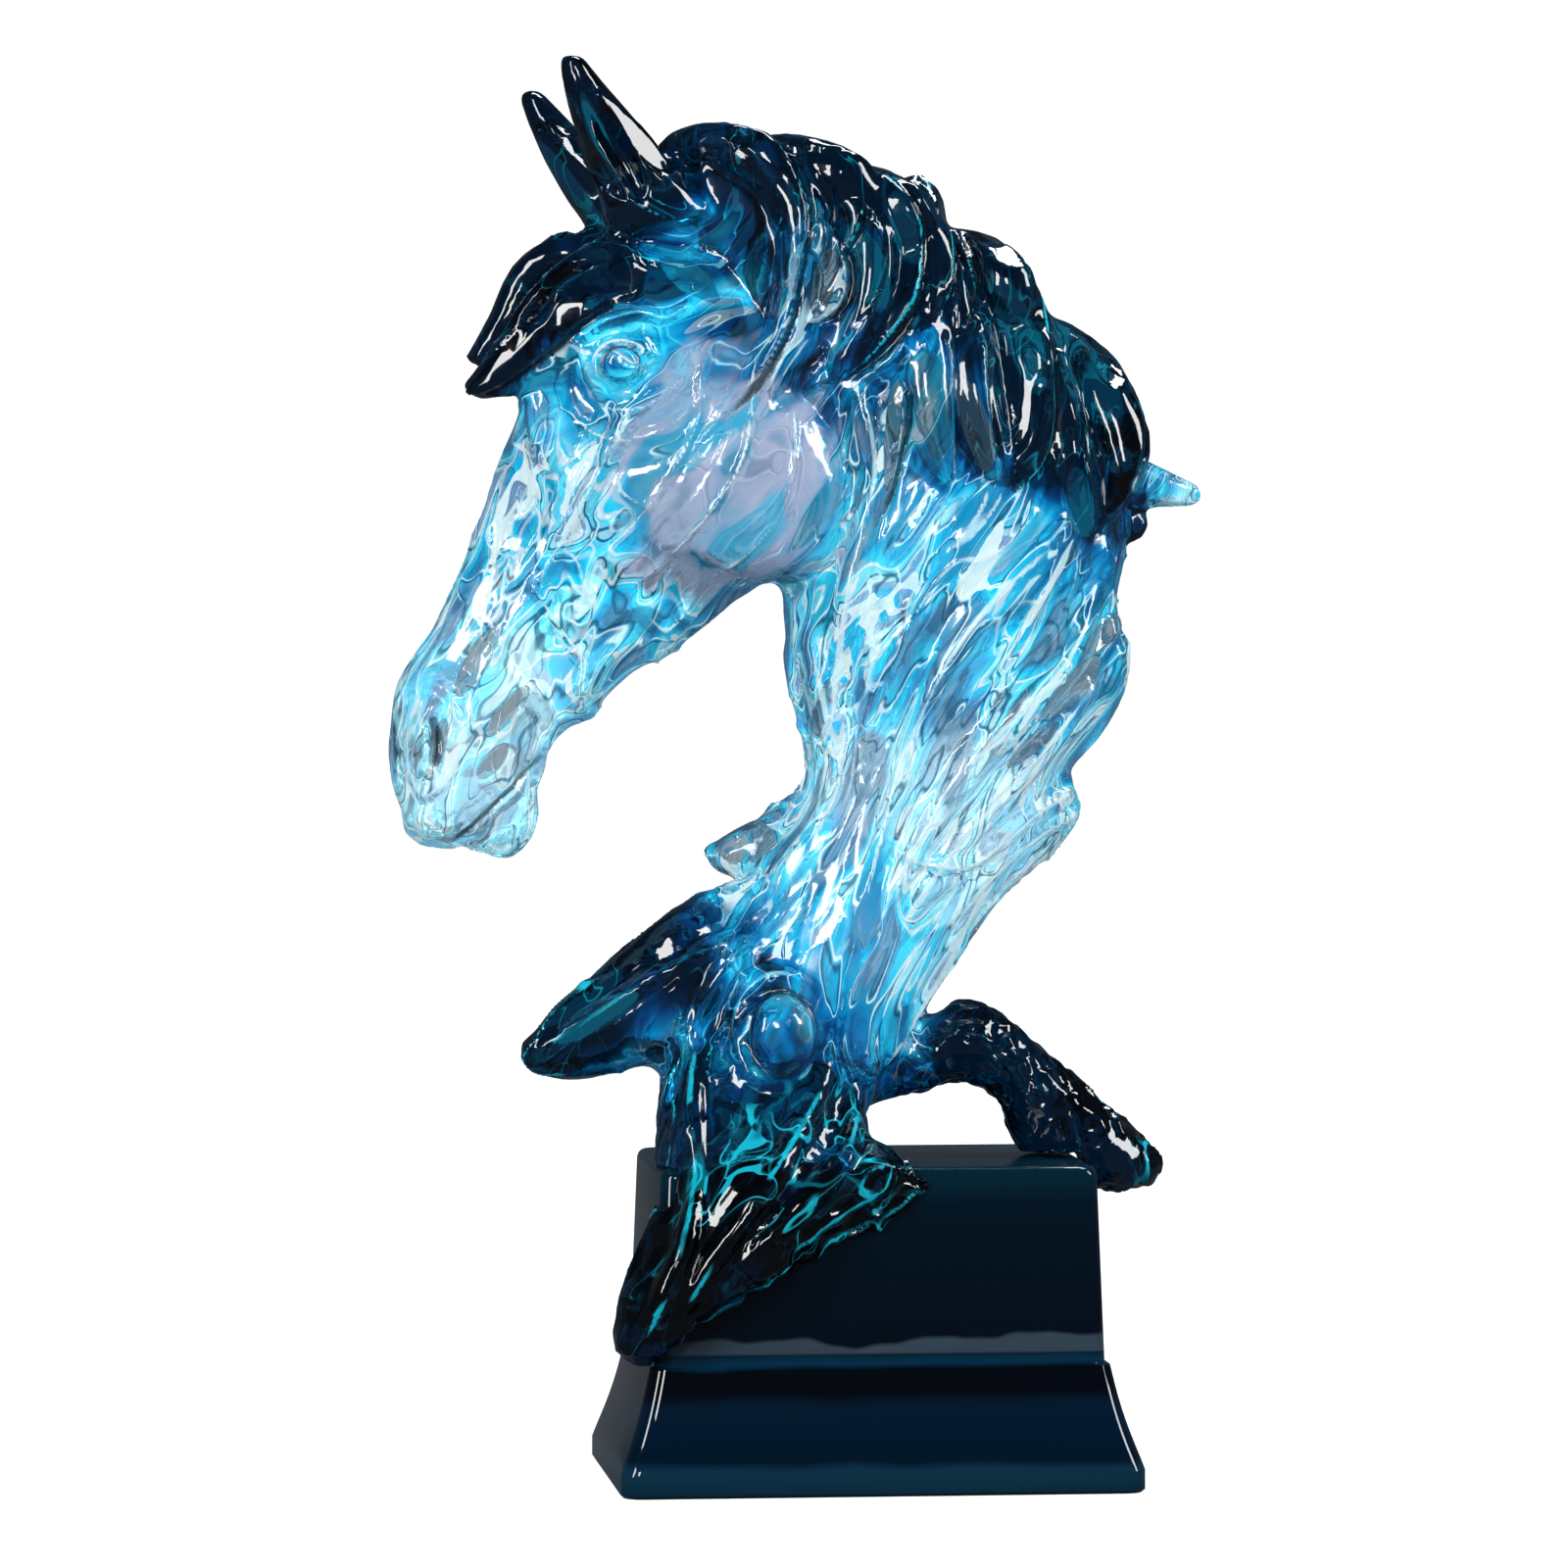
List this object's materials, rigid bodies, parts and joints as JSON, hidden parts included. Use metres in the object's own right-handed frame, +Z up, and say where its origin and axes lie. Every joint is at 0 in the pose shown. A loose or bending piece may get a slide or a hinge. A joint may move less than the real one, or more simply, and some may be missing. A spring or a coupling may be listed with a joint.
{
  "type": "resin horse head sculpture",
  "caption": "Cast see-through resin horse head on a flowing neck, with a second head that drapes over the corner of a dark flared plinth.",
  "frame": {"origin": "centre of the plinth's flat underside", "axes": "+Z up, -X the way that the horses face, -Y the side that the picture shows"},
  "size_m": [0.1997, 0.098, 0.3467],
  "materials": {
    "blue_resin": "polished cast resin, clear and cyan in the neck and muzzle, deep blue to black in the mane, ears and lower head",
    "dark_resin": "polished deep navy resin"
  },
  "bodies": {
    "root": {"horse_figure": "blue_resin", "plinth": "dark_resin"}
  },
  "joints": []
}
